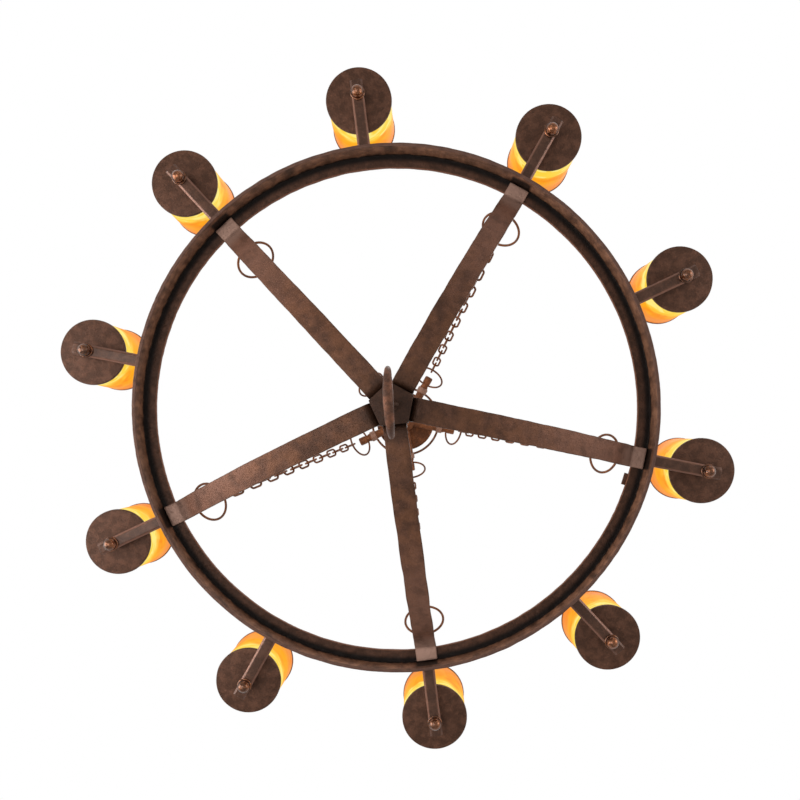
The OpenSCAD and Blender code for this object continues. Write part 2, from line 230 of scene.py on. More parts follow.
class Shader:
    """A material's node tree with one Principled shader."""

    # A Mix node's sockets are given by number, because those for numbers, vectors and colours
    # share their names.
    MIX_FACTOR, MIX_FIRST, MIX_SECOND, MIX_COLOUR = 0, 6, 7, 2

    def __init__(self, name):
        self.material = bpy.data.materials.new(name)
        self.material.use_nodes = True
        self.tree = self.material.node_tree
        self.principled = self.tree.nodes["Principled BSDF"]
        self.place = self.node("ShaderNodeTexCoord").outputs["Object"]

    def node(self, kind, settings=None, values=None):
        """A node of this type: its settings are set first, then its sockets' values or links."""
        made = self.tree.nodes.new(kind)
        for key, value in (settings or {}).items():
            setattr(made, key, value)
        for key, value in (values or {}).items():
            self.feed(made.inputs[key], value)
        return made

    def feed(self, socket, value):
        """Links a socket to a Value or another socket, or sets its number or colour."""
        if isinstance(value, Value):
            value = value.socket
        three = isinstance(value, (tuple, list)) and len(value) == 3
        if isinstance(value, bpy.types.NodeSocket):
            self.tree.links.new(value, socket)
        elif three and len(socket.default_value) == 4:
            socket.default_value = (*value, 1.0)
        else:
            socket.default_value = value

    def noise(self, size, detail=3.0, stretch=(1, 1, 1), distort=0.0, rough=0.55, shift=0.0):
        """Cloudy noise whose blobs are about this size in metres, stretched along the axes."""
        moved = self.node("ShaderNodeMapping", None, {
            "Vector": self.place, "Location": (shift, shift, shift),
            "Scale": [1 / (size * s) for s in stretch]})
        made = self.node("ShaderNodeTexNoise", None, {
            "Vector": moved.outputs[0], "Scale": 1.0, "Detail": detail, "Roughness": rough,
            "Distortion": distort})
        return Value(self, made.outputs["Fac"])

    def blend(self, factor, first, second):
        """The colour between first and second."""
        made = self.node("ShaderNodeMix", {"data_type": "RGBA"}, {
            self.MIX_FACTOR: factor, self.MIX_FIRST: first, self.MIX_SECOND: second})
        return made.outputs[self.MIX_COLOUR]

    def coated(self, tone, *layers):
        """The tone after each layer, a mask and a colour, is laid over it in turn."""
        for mask, layer in layers:
            tone = self.blend(mask, tone, tuple(layer))
        return tone

    def xyz(self):
        """The X, Y and Z of the surface point in metres."""
        split = self.node("ShaderNodeSeparateXYZ", None, {0: self.place})
        return [Value(self, output) for output in split.outputs]

    def height(self):
        """The Z of the surface point in metres."""
        return self.xyz()[2]

    def radius(self):
        """The surface point's distance from the Z axis in metres."""
        x, y, _ = self.xyz()
        return (x * x + y * y) ** 0.5

    def across(self, count):
        """The sideways distance to the nearest of so many evenly spaced rays about the Z axis."""
        x, y, _ = self.xyz()
        folded = x.math("PINGPONG", x.math("ARCTAN2", y, x), math.pi / count)
        return self.radius() * x.math("SINE", folded)

    def bump(self, height, depth):
        """Feeds the normal with a bump of this depth in metres."""
        made = self.node("ShaderNodeBump", None, {
            "Height": height, "Strength": 1.0, "Distance": depth})
        self.feed(self.principled.inputs["Normal"], made.outputs[0])

    def set(self, **values):
        """Sets or links the Principled shader's sockets; underscores stand for spaces."""
        for key, value in values.items():
            self.feed(self.principled.inputs[key.replace("_", " ")], value)
        return self.material


# ---------------------------------------------------------------- finishes


def iron(name, tones, rough=None, metallic=0.35, coat=0.0, wear_and_painted_light=None):
    """Brown rubbed iron: cloudy patches, small rusty flecks, dark pits and a fine grain, each a
    noise of its own size. The tones are names in the iron's properties, from dark to rusty, and
    the last argument's function changes the colour further by place, with rubbed places and
    painted light and shade."""
    look = bpy.context.scene.chandelier_iron
    dark, middle, rusty = [tuple(getattr(look, tone)) for tone in tones]
    mean = look.rough if rough is None else rough
    s = Shader(name)
    patches = s.noise(look.patch, detail=4.0).step(0.38, 0.66)
    flecks = s.noise(look.patch / 5, detail=5.0, rough=0.65, shift=3.1).step(0.52, 0.72)
    pits = s.noise(look.patch / 9, detail=3.0, shift=7.7).step(0.56, 0.70)
    grain = s.noise(look.grain, detail=2.0, shift=1.3)
    tone = s.coated(
        s.blend(patches, dark, middle),
        (flecks * (0.25 + 0.45 * patches), rusty),
        (pits * 0.55, [part * 0.45 for part in dark]),
        ((grain - 0.5) * 0.5 + 0.12, rusty))
    if wear_and_painted_light:
        tone = wear_and_painted_light(s, tone, look)
    s.bump(grain * 0.35 + flecks * 0.4 - pits * 0.6 + patches * 0.5, 0.0005)
    return s.set(
        Base_Color=tone, Roughness=(mean - 0.08) + 0.2 * grain + 0.1 * pits, Metallic=metallic,
        Specular_IOR_Level=0.2, Coat_Weight=coat, Coat_Roughness=0.12)


def rim_wear_and_painted_light(s, tone, look):
    """A lighter, mottled upright leg, partly a rubbed finish and partly painted light; a darker
    bottom edge; a painted highlight along the inner edge; painted shade under the flat leg and
    in the inner corner; and a painted shadow beyond each strap's foot. Distances run inwards
    from the rim's outside and down from its top, in metres."""
    low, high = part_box("rim")
    tall = high.z - low.z
    inwards = high.x - s.radius()
    down = high.z - s.height()
    mottle = s.noise(0.011, detail=4.0, shift=9.0)
    flat = inwards.step(0.0048, 0.0058)
    upright = 1 - flat
    under = down.step(0.0010, 0.0040) * flat
    # Masks of painted shade in the inner corner, on the flat leg and on the upright's inner face.
    leg_corner_shade = (1 - inwards.step(0.0090, 0.0170)) * under
    wall_corner_shade = (1 - (down + (mottle - 0.5) * 0.010).step(0.0060, 0.0120)) * upright
    # Mask of the painted shadow that each strap's foot casts on the upright's inner face.
    foot_shadow = (1 - s.across(SPOKES).step(0.0130, 0.0185)) * (1 - inwards.step(0.0095, 0.0110))
    foot_shadow = foot_shadow * (1 - down.step(0.0240, 0.0350))
    inside = inwards.step(0.0008, 0.0020)
    painted_shade = (leg_corner_shade + (wall_corner_shade + foot_shadow).clamped() * inside).clamped()
    return s.coated(
        tone,
        # Lighter mottling of the upright leg: a rubbed finish, and painted light.
        (upright * (0.15 + 0.65 * mottle.step(0.25, 0.75)), look.rubbed),
        (down.step(tall - 0.0014, tall - 0.0004) * 0.75, LOW_EDGE),
        # Painted shade on the flat leg's underside.
        (under * 0.35, THIN_SHADE),
        # Painted highlight along the flat leg's inner edge.
        (inwards.step(0.0222, 0.0240) * 0.8, look.rusty),
        # Near-black painted shade in the inner corner and painted shadow beyond each strap's foot.
        (painted_shade * 0.96, DEEP_SHADE))


def strap_wear_and_painted_light(s, tone, look):
    """Warm patches along a strap, a lighter, rubbed tone towards the rim that is partly painted
    light, a painted highlight on the pale foot, dark clouds and dark edges, and painted shade
    towards the hub and in its bend. Distances run outwards from the wheel's axis, in metres."""
    reach = s.radius()
    mottle = s.noise(0.022, detail=4.0, shift=4.0)
    rubs = s.noise(0.022, detail=3.0, shift=6.0)
    clouds = s.noise(0.024, detail=4.0, shift=8.0).step(0.50, 0.70)
    warm = mottle.step(0.36, 0.66) * (1 - reach.step(0.20, 0.33) * 0.6)
    return s.coated(
        tone,
        (warm * 0.42, look.ruddy),
        # Lighter towards the rim: rubbed patches, and painted light.
        (reach.step(0.12, 0.30) * (0.15 + 0.7 * rubs), look.worn),
        # Painted highlight on the foot.
        (reach.step(0.335, 0.362) * (0.6 + 0.4 * mottle), look.pale),
        (clouds * 0.5, look.dark),
        (s.across(SPOKES).step(0.0142, 0.0158) * 0.4, look.dark),
        # Painted shade towards the hub.
        ((1 - reach.step(0.05, 0.22)) * 0.25, look.dark),
        # Painted shade in the bend at the hub.
        ((1 - reach.step(0.028, 0.060)) * 0.45, THIN_SHADE))


def arm_wear_and_highlights(s, tone, look):
    """A darker middle and lighter bevels along an arm, partly rubbed and partly a painted
    highlight; the lighter bevels fade past the lamp.
    """
    side = s.across(LAMPS)
    past = s.radius().step(LAMP_R - 0.002, LAMP_R + 0.008)
    # Lighter bevels: rubbed, and a painted highlight.
    bevel = side.step(0.0062, 0.0074) * (1 - past * 0.8)
    return s.coated(
        tone, ((1 - side.step(0.0045, 0.0065)) * 0.35, look.dark), (bevel * 0.75, look.worn))


def peg_collar_highlight(s, tone, look):
    """A painted highlight on each peg's collar, in the pale tone."""
    reach = s.radius()
    collar = reach.step(0.072, 0.075) * (1 - reach.step(0.085, 0.088))
    return s.coated(tone, (collar * 0.45, look.pale))


def hub_painted_shade(s, tone, look):
    """An even painted shade over the hub block and its eye."""
    return s.coated(tone, (0.60, HUB_SHADE))


def amber_glass():
    """Lit art glass: a colour that changes with height, with a painted shadow of the pan's lip
    at its foot, crossed by pale and deep streaks.
    """
    lamp = bpy.context.scene.chandelier_lamps
    s = Shader("amber_glass")
    low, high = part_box("shade_1")
    rise = (s.height() - low.z) / (high.z - low.z)
    swirl = s.noise(0.055, detail=2.0, stretch=(1, 1, 0.6), distort=0.8)
    veins = s.noise(0.030, detail=2.5, stretch=(1.2, 1.2, 0.5), distort=1.2, shift=5.0)
    deep = s.noise(0.030, detail=2.0, stretch=(1, 1, 0.7), distort=0.8, shift=11.0)
    level = rise + (swirl - 0.5) * 0.55
    # The edge tone at the foot is a painted shadow of the pan's lip.
    tone = s.coated(
        s.blend(rise.step(0.02, 0.11), tuple(lamp.edge), tuple(lamp.low)),
        (veins.step(0.44, 0.62) * (1 - level.step(0.20, 0.44)) * 0.9, lamp.vein),
        (level.step(0.22, 0.48), lamp.middle),
        (level.step(0.50, 0.95), lamp.high),
        (deep.step(0.40, 0.75) * level.step(0.18, 0.40) * 0.8, lamp.deep))
    return s.set(
        Base_Color=s.blend(0.95, tone, (0.02, 0.004, 0.0)), Emission_Color=tone,
        Emission_Strength=lamp.glow, Roughness=0.42 + 0.15 * veins, IOR=1.1)


def bulb_glass():
    """Frosted glass between the bulb's colour and a paler one, by a fine noise."""
    lamp = bpy.context.scene.chandelier_lamps
    s = Shader("bulb_glass")
    mist = s.noise(0.01, detail=2.0)
    tone = s.blend(mist * 0.3, tuple(lamp.bulb), (1.0, 0.95, 0.82))
    return s.set(
        Base_Color=tone, Emission_Color=tone, Emission_Strength=lamp.bulb_glow,
        Roughness=0.3 + 0.1 * mist)


def plain(name, low, high, rough, metallic):
    """A simple finish between two close tones, by a cloudy and a fine noise."""
    s = Shader(name)
    cloud = s.noise(0.012, detail=3.0)
    fine = s.noise(0.002, detail=2.0, shift=2.0)
    tone = s.blend((cloud * 0.6 + fine * 0.4).step(0.35, 0.65), low, high)
    s.bump(fine * 0.6 + cloud * 0.4, 0.0002)
    return s.set(Base_Color=tone, Roughness=rough + 0.12 * (fine - 0.5), Metallic=metallic)


BROWN = ("dark", "middle", "rusty")
# Lit copies of the iron: their warm tones are painted light from the shades.
LAMPLIT = ("lamplit_dark", "lamplit_middle", "lamplit_rusty")
SHINY = ("dark", "lamplit_middle", "lamplit_rusty")
IRONS = {
    "rust_iron": dict(tones=BROWN),
    "lit_iron": dict(tones=LAMPLIT, rough=0.42),
    "nut_iron": dict(tones=SHINY, rough=0.14, metallic=1.0, coat=0.5),
    "ring_iron": dict(tones=("dark", "rusty", "worn"), rough=0.45, metallic=0.3),
    "band_iron": dict(tones=("rusty", "worn", "pale"), rough=0.45, metallic=0.2),
    "arm_iron": dict(tones=BROWN, rough=0.34, metallic=0.4, coat=0.2, wear_and_painted_light=arm_wear_and_highlights),
    "rim_iron": dict(tones=BROWN, wear_and_painted_light=rim_wear_and_painted_light),
    "strap_iron": dict(tones=BROWN, wear_and_painted_light=strap_wear_and_painted_light),
    "peg_iron": dict(tones=LAMPLIT, rough=0.42, wear_and_painted_light=peg_collar_highlight),
    "hub_iron": dict(tones=BROWN, rough=0.6, metallic=0.2, wear_and_painted_light=hub_painted_shade),
}
PLAINS = {
    "thread_steel": ((0.34, 0.29, 0.2), (0.5, 0.44, 0.33), 0.35, 0.9),
    "plain_steel": ((0.09, 0.075, 0.06), (0.2, 0.17, 0.14), 0.38, 0.8),
    "socket_plastic": ((0.72, 0.66, 0.52), (0.82, 0.77, 0.64), 0.5, 0.0),
}
GLASSES = {"amber_glass": amber_glass, "bulb_glass": bulb_glass}
SLOTS = {
    **dict.fromkeys(
        ("ring_iron", "band_iron", "arm_iron", "rim_iron", "strap_iron", "hub_iron"), "rust_iron"),
    **dict.fromkeys(("nut_iron", "peg_iron"), "lit_iron"),
}
FINISHES = {}


def finish(name):
    """The named finish, made when it is first asked for."""
    if name not in FINISHES:
        if name in IRONS:
            FINISHES[name] = iron(name, **IRONS[name])
        elif name in PLAINS:
            FINISHES[name] = plain(name, *PLAINS[name])
        else:
            FINISHES[name] = GLASSES[name]()
    return FINISHES[name]


# ---------------------------------------------------------------- surfaces


def around(count):
    """Number and angle of each of so many evenly spaced places round the wheel."""
    return [(k + 1, 2 * math.pi * k / count) for k in range(count)]


def full_turn(steps):
    """Evenly spaced angles round a circle."""
    return np.linspace(0, 2 * math.pi, steps, endpoint=False)


def on_circle(angles):
    """Points of the circle of radius 1 at these angles."""
    return np.stack([np.cos(angles), np.sin(angles)], -1)


def turned(points, angle):
    """Points turned about Z by an angle in radians."""
    c, s = math.cos(angle), math.sin(angle)
    return points @ np.array([[c, s, 0], [-s, c, 0], [0, 0, 1]])


def rounded(corners, radius, steps=4):
    """A closed outline whose corners are eased: each is a parabola between the points one
    radius along its two edges."""
    corners = np.array(corners, float)
    before = np.roll(corners, 1, axis=0) - corners
    after = np.roll(corners, -1, axis=0) - corners
    start = corners + before / np.linalg.norm(before, axis=1)[:, None] * radius
    end = corners + after / np.linalg.norm(after, axis=1)[:, None] * radius
    t = np.linspace(0, 1, steps)[None, :, None]
    pulled = 2 * t * (1 - t) * corners[:, None]
    eased = (1 - t) ** 2 * start[:, None] + pulled + t**2 * end[:, None]
    return eased.reshape(-1, 2)


def uneven(points, size, depth, seed):
    """Points moved by a sum of sine waves with seeded directions and lengths near size, which
    gives the soft lumps of hammering."""
    rng = np.random.default_rng(seed)
    waves = 9
    ways = rng.normal(size=(waves, 3))
    counts = (2 * math.pi / size) * rng.uniform(0.5, 1.6, waves)[:, None]
    ways *= counts / np.linalg.norm(ways, axis=1)[:, None]
    pushes = rng.normal(size=(waves, 3)) / math.sqrt(waves)
    phases = rng.uniform(0, 2 * math.pi, waves)
    return points + depth * (np.sin(points @ ways.T + phases) @ pushes)


def surface(grid, wrap_rows=False):
    """Vertices and faces of a grid of rows x columns points, whose columns run round:
    neighbours make squares, and the end rows, where they don't run round too, are closed by a
    fan to their middle. Faces are turned outwards by the sign of the enclosed volume."""
    rows, columns = grid.shape[:2]
    strips = np.arange(rows if wrap_rows else rows - 1)
    r, c = np.meshgrid(strips, np.arange(columns), indexing="ij")
    near, far, beside = r * columns, (r + 1) % rows * columns, (c + 1) % columns
    squares = np.stack([near + c, near + beside, far + beside, far + c], axis=-1).reshape(-1, 4)
    points = grid.reshape(-1, 3)
    faces = squares.tolist()
    if not wrap_rows:
        ring = np.arange(columns)
        for row, order in ((0, 1), (rows - 1, -1)):
            hubs = np.full(columns, len(points))
            points = np.vstack([points, grid[row].mean(axis=0)])
            fan = np.stack([hubs, row * columns + np.roll(ring, -1), row * columns + ring], -1)
            faces += fan[:, ::order].tolist()
    p = points[squares] - points.mean(axis=0)
    sides = np.cross(p[:, 1], p[:, 2]) + np.cross(p[:, 2], p[:, 3])
    if np.einsum("ij,ij->i", p[:, 0], sides).sum() < 0:
        faces = [face[::-1] for face in faces]
    return points, faces


def swept(path, across, up, outline):
    """Grid of an outline carried along a path: each row is the path's point plus the
    outline's two numbers along the across and up directions there."""
    path = np.asarray(path, float)
    across = np.broadcast_to(np.asarray(across, float), path.shape)
    up = np.broadcast_to(np.asarray(up, float), path.shape)
    outline = np.broadcast_to(outline, (len(path), *np.shape(outline)[-2:]))
    return path[:, None] + outline[..., :1] * across[:, None] + outline[..., 1:] * up[:, None]


def lathed(profile, centre=(0, 0, 0), steps=72):
    """Grid of a closed profile of radius and height pairs turned about an upright axis."""
    profile = np.asarray(profile, float)
    a = full_turn(steps)[:, None]
    heights = np.broadcast_to(profile[:, 1], (steps, len(profile)))
    grid = np.stack([profile[:, 0] * np.cos(a), profile[:, 0] * np.sin(a), heights], -1)
    return grid + np.asarray(centre, float)


def hooped(radius, wire):
    """Grid of a round wire bent to a circle about Z: a torus."""
    return lathed((radius, 0) + wire / 2 * on_circle(full_turn(14)), steps=84)


def arc(radius, x, z, start, end, steps):
    """Points of an arc in the XZ plane, with angles in radians from straight down."""
    a = np.linspace(start, end, steps)
    return np.stack([x + radius * np.sin(a), np.zeros_like(a), z - radius * np.cos(a)], -1)


def piece(name, surfaces, finish_name, body, replaced=(), sharp=38):
    """An object made of closed surfaces: it gets a finish, rides on a body and stands for the
    frame's nodes that it replaces. Edges bent by more than sharp degrees stay sharp."""
    points, faces, start = [], [], 0
    for some_points, some_faces in surfaces:
        points.append(some_points)
        faces += [[i + start for i in face] for face in some_faces]
        start += len(some_points)
    mesh = bpy.data.meshes.new(name)
    mesh.from_pydata(np.vstack(points).tolist(), [], faces)
    mesh.shade_smooth()
    mesh.set_sharp_from_angle(angle=math.radians(sharp))
    mesh.materials.append(finish(finish_name))
    made = bpy.data.objects.new(name, mesh)
    bpy.context.scene.collection.objects.link(made)
    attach(made, body)
    if replaced:
        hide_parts(*replaced)


def at_lamps(profile, steps):
    """The same turned surface at every lamp, from its profile about a lamp's axis."""
    grid = lathed(profile, (LAMP_R, 0, 0), steps)
    return [surface(turned(grid, angle), wrap_rows=True) for _, angle in around(LAMPS)]


# ---------------------------------------------------------------- pieces


class CHANDELIER_OT_rim(bpy.types.Operator):
    """The rim: an L-shaped outline with eased corners turned about Z, then hammered"""

    bl_idname = "chandelier.rim"
    bl_label = "Rim"

    def execute(self, context):
        size = context.scene.chandelier_forging
        low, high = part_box("rim")
        inner, t = high.x - size.rim_w, size.rim_t
        corners = [
            (inner, high.z - t), (high.x - t, high.z - t), (high.x - t, low.z), (high.x, low.z),
            (high.x, high.z), (inner, high.z)]
        grid = lathed(rounded(corners, size.edge_r, 5), steps=540)
        grid = uneven(grid, 0.030, size.hammer * 0.42, 11)
        grid = uneven(grid, 0.009, size.hammer * 0.32, 12)
        piece("rim_hoop", [surface(grid, wrap_rows=True)], "rim_iron", "frame", ["rim"])
        return {"FINISHED"}


def strap_line(size):
    """A spoke's middle line in the XZ plane: down the leg, round the hub's bend, along the
    dished belly, round the small bend and out along the foot. The belly is an arc that touches
    the level at the axis and the small bend 1 mm inside the rim's flat leg."""
    low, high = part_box("spoke_1")
    half, bend_r = size.strap_t / 2, size.bend_r
    leg_x, leg_top = low.x + half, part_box("hub")[1].z
    foot_z = high.z - half
    belly_z = foot_z - size.dish
    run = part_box("rim")[1].x - size.rim_w - 0.001
    dish = 2 * math.atan((foot_z - belly_z) / run)
    dish_r = run / math.sin(dish) - bend_r
    lean = math.asin((leg_x + bend_r) / (dish_r - bend_r))
    bend_z = belly_z + dish_r * (1 - math.cos(lean)) + bend_r * math.cos(lean)
    return np.vstack([
        np.linspace((leg_x, 0, leg_top), (leg_x, 0, bend_z), 6)[:-1],
        arc(bend_r, leg_x + bend_r, bend_z, -math.pi / 2, lean, 16)[:-1],
        arc(dish_r, 0, belly_z + dish_r, lean, dish, 90)[:-1],
        arc(bend_r, run, foot_z - bend_r, math.pi + dish, math.pi, 12)[:-1],
        np.linspace((run, 0, foot_z), (high.x, 0, foot_z), 8),
    ])


class CHANDELIER_OT_spokes(bpy.types.Operator):
    """The spokes: an eased rectangle carried along the strap's line, smaller at its two ends"""

    bl_idname = "chandelier.spokes"
    bl_label = "Spokes"

    def execute(self, context):
        size = context.scene.chandelier_forging
        low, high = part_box("spoke_1")
        w, t, ease = (high.y - low.y) / 2, size.strap_t / 2, size.edge_r
        line = strap_line(size)
        way = np.gradient(line, axis=0)
        way /= np.linalg.norm(way, axis=1)[:, None]
        up = np.stack([-way[:, 2], np.zeros(len(line)), way[:, 0]], -1)
        near_start, near_end = line[:1] + way[0] * ease, line[-1:] - way[-1] * ease
        line = np.vstack([line[:1], near_start, line[1:-1], near_end, line[-1:]])
        up = np.vstack([up[:1], up, up[-1:]])
        outline = rounded([(-w, -t), (w, -t), (w, t), (-w, t)], ease, 5)
        outline = np.repeat(outline[None], len(line), axis=0)
        outline[[0, -1]] -= np.sign(outline[0]) * ease * 0.7
        for number, angle in around(SPOKES):
            grid = turned(swept(line, (0, 1, 0), up, outline), angle)
            grid = uneven(grid, 0.045, size.hammer * 0.7, 20 + number)
            grid = uneven(grid, 0.012, size.hammer * 0.3, 30 + number)
            piece(f"strap_{number}", [surface(grid)], "strap_iron", "frame", [f"spoke_{number}"])
        return {"FINISHED"}


class CHANDELIER_OT_hub(bpy.types.Operator):
    """The hub: a pentagon with eased corners, drawn in a little at its top and bottom edges"""

    bl_idname = "chandelier.hub"
    bl_label = "Hub block"

    def execute(self, context):
        low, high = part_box("hub")
        flat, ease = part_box("spoke_1")[0].x, 0.0012
        corners = on_circle(2 * math.pi * (np.arange(SPOKES) + 0.5) / SPOKES)
        outline = rounded(corners * flat / math.cos(math.pi / SPOKES), ease, 4)
        rows = [(low.z, ease), (low.z + 0.3 * ease, 0.3 * ease), (low.z + ease, 0)]
        rows += [(high.z - ease, 0), (high.z - 0.3 * ease, 0.3 * ease), (high.z, ease)]
        grid = np.array([[(*(p * (1 - inset / flat)), z) for p in outline] for z, inset in rows])
        piece("hub_block", [surface(grid)], "hub_iron", "frame", ["hub"])
        return {"FINISHED"}


class CHANDELIER_OT_drop_ring(bpy.types.Operator):
    """The drop ring: a blunt oval carried round a circle, thinner towards the top. The oval's
    two numbers are the sine and cosine of its angle to the power of 0.9, with their signs"""

    bl_idname = "chandelier.drop_ring"
    bl_label = "Drop ring"

    def execute(self, context):
        low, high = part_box("drop_ring")
        outer, middle_z = (high.z - low.z) / 2, (high.z + low.z) / 2
        turn, lumps, blunt = math.radians(76), 0.00003, 0.9
        a, b = full_turn(120)[:, None], full_turn(40)[None, :]
        rise = (1 - np.cos(a)) / 2
        deep = 0.00622 - 0.00275 * rise**2
        wide = 0.0027 + 0.0035 * (1 - rise) ** 2
        reach = outer - lumps - deep + deep * np.sign(np.cos(b)) * np.abs(np.cos(b)) ** blunt
        across = wide * np.sign(np.sin(b)) * np.abs(np.sin(b)) ** blunt
        grid = np.stack([reach * np.sin(a), across + 0 * a, middle_z - reach * np.cos(a)], -1)
        grid = turned(uneven(grid, 0.016, 0.0001, 40), turn)
        whole = surface(grid, wrap_rows=True)
        piece("forged_ring", [whole], "ring_iron", "ring", ["drop_ring"], 60)
        return {"FINISHED"}


class CHANDELIER_OT_arms(bpy.types.Operator):
    """The arms: a bar's outline with bevelled lower edges, carried straight out under a lamp"""

    bl_idname = "chandelier.arms"
    bl_label = "Arms"

    def execute(self, context):
        size = context.scene.chandelier_forging
        low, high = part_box("arm_1")
        half, thick, long = high.y, high.z - low.z, high.x - low.x
        flat, side = half - size.bevel_w, size.bevel_h
        corners = np.array([
            (-flat, 0), (flat, 0), (half, side), (half, thick), (-half, thick), (-half, side)])
        outline = rounded(corners - (0, thick / 2), 0.0006, 4)
        tip = np.array([0, 0.0003, 0.001])
        x = np.hstack([tip, np.linspace(0.01, long - 0.01, 14), long - tip[::-1]])
        path = np.stack([low.x + x, 0 * x, 0 * x + low.z + thick / 2], -1)
        outline = np.repeat(outline[None], len(path), axis=0)
        outline[[0, -1]] -= np.sign(outline[0]) * 0.0007
        outline[[1, -2]] -= np.sign(outline[1]) * 0.0002
        grid = swept(path, (0, 1, 0), (0, 0, 1), outline)
        for number, angle in around(LAMPS):
            bar = surface(uneven(turned(grid, angle), 0.03, 0.00012, 50 + number))
            piece(f"bar_{number}", [bar], "arm_iron", "frame", [f"arm_{number}"], 30)
        return {"FINISHED"}


class CHANDELIER_OT_pans(bpy.types.Operator):
    """The drip pans: a thin dish with a rolled lip, turned about each lamp's axis"""

    bl_idname = "chandelier.pans"
    bl_label = "Drip pans"

    def execute(self, context):
        low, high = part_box("pan_1")
        r, hole, t, roll = (high.x - low.x) / 2, 0.0051, 0.0015, 0.0008
        lip = on_circle(np.linspace(-0.2 * math.pi, 1.15 * math.pi, 12))
        profile = np.vstack([
            [(hole, low.z), (r - 0.0030, low.z), (r - 0.0009, low.z + 0.0004)],
            [(r - 0.0002, low.z + 0.0014)],
            (r - roll, high.z - roll) + roll * lip,
            [(r - 0.0014, low.z + t + 0.0004), (r - 0.0030, low.z + t), (hole, low.z + t)],
        ])
        grid = lathed(profile, (LAMP_R, 0, 0), 96)
        for number, angle in around(LAMPS):
            dish = surface(uneven(turned(grid, angle), 0.05, 0.0001, 70 + number), wrap_rows=True)
            piece(f"dish_{number}", [dish], "rust_iron", "frame", [f"pan_{number}"])
        return {"FINISHED"}


class CHANDELIER_OT_shades(bpy.types.Operator):
    """The shades: a glass tube with eased rims, and a metal band with beaded edges round its top"""

    bl_idname = "chandelier.shades"
    bl_label = "Amber shades"

    def execute(self, context):
        size = context.scene.chandelier_lamps
        low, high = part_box("shade_1")
        foot_r, top_r, wall = size.foot_r, size.top_r, size.wall
        band_r, band_low, bead = (high.x - low.x) / 2, high.z - size.band_h, 0.0005
        top = high.z - 0.0011
        tube = rounded([
            (foot_r - wall, low.z), (foot_r, low.z), (top_r, top), (top_r - wall, top)], 0.0009, 4)
        rows = np.linspace(0, 1, 26)[1:-1, None]
        rows = rows * (top_r, top - 0.001) + (1 - rows) * (foot_r, low.z + 0.001)
        tube = np.vstack([tube[:8], rows, tube[8:], rows[::-1] - (wall, 0)])
        inner, waist = top_r - wall - 0.0008, band_r - bead
        band = rounded([
            (inner, band_low), (band_r, band_low), (band_r, band_low + 2 * bead),
            (waist, band_low + 2.4 * bead), (waist, high.z - 2.4 * bead),
            (band_r, high.z - 2 * bead), (band_r, high.z), (inner, high.z)], 0.0003, 3)
        beside_glass = band[:, 1] < high.z - 0.0014
        band[beside_glass, 0] = np.maximum(band[beside_glass, 0], top_r + 0.00005)
        for number, angle in around(LAMPS):
            body = f"glass_{number}"
            glass = turned(lathed(tube, (LAMP_R, 0, 0), 96), angle)
            glass = surface(uneven(glass, 0.04, 0.00018, 90 + number), wrap_rows=True)
            piece(f"amber_tube_{number}", [glass], "amber_glass", body, [f"shade_{number}"])
            rim = surface(turned(lathed(band, (LAMP_R, 0, 0), 96), angle), wrap_rows=True)
            piece(f"band_{number}", [rim], "band_iron", body, sharp=50)
        return {"FINISHED"}


class CHANDELIER_OT_bulbs(bpy.types.Operator):
    """The bulbs: a candle shape turned about each lamp's axis, on a plain screw base"""

    bl_idname = "chandelier.bulbs"
    bl_label = "Bulbs"

    def execute(self, context):
        low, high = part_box("bulbs")
        widest = context.scene.chandelier_lamps.bulb_r
        foot, top = low.z + 0.017, high.z
        a = np.linspace(-0.28 * math.pi, 0.47 * math.pi, 22)
        rise = np.where(a < 0, 0.020, 0.0475) * np.sin(a)
        belly = np.stack([widest * np.cos(a) ** 0.9, foot + 0.017 + rise], -1)
        profile = np.vstack([
            [(0.0001, low.z), (0.0045, low.z), (0.0060, low.z + 0.0015), (0.0060, foot)],
            [(0.0070, foot + 0.0004)],
            belly,
            [(0.0012, top - 0.0003), (0.0001, top)],
        ])
        piece("candle_bulbs", at_lamps(profile, 40), "bulb_glass", "frame", ["bulbs"])
        return {"FINISHED"}


class CHANDELIER_OT_nuts(bpy.types.Operator):
    """The dome nuts: a shoulder, a groove and a dome, turned about each lamp's axis"""

    bl_idname = "chandelier.nuts"
    bl_label = "Dome nuts"

    def execute(self, context):
        low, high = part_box("dome_nuts")
        top, shoulder, bore = high.z, high.x - LAMP_R, 0.0052
        dome = context.scene.chandelier_forging.dome_r
        b = np.linspace(0.02, 0.5 * math.pi, 16)[::-1]
        domed = np.stack([dome * np.sin(b), low.z + dome - dome * np.cos(b)], -1)
        profile = np.vstack([
            [(bore, top), (shoulder - 0.0006, top), (shoulder, top - 0.0006)],
            [(shoulder, top - 0.0019), (shoulder - 0.0006, top - 0.0025)],
            [(dome + 0.0003, top - 0.0026), (dome, top - 0.0030)],
            domed,
            [(0.00005, low.z), (0.00005, top - 0.0088), (bore, top - 0.0088)],
        ])
        piece("domed_nuts", at_lamps(profile, 48), "nut_iron", "frame", ["dome_nuts"])
        return {"FINISHED"}


def chain_line():
    """Start and direction of a chain at spoke 1: from a peg's cross hole to a tab's hole."""
    peg_low, peg_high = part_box("pegs")
    tab_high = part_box("chain_tabs")[1]
    start = np.array([peg_high.x - PEG_HOLE_IN, 0, (peg_low.z + peg_high.z) / 2])
    end = np.array([tab_high.x - TAB_HOLE_IN, 0, tab_high.z - TAB_HOLE_IN])
    return start, (end - start) / np.linalg.norm(end - start)


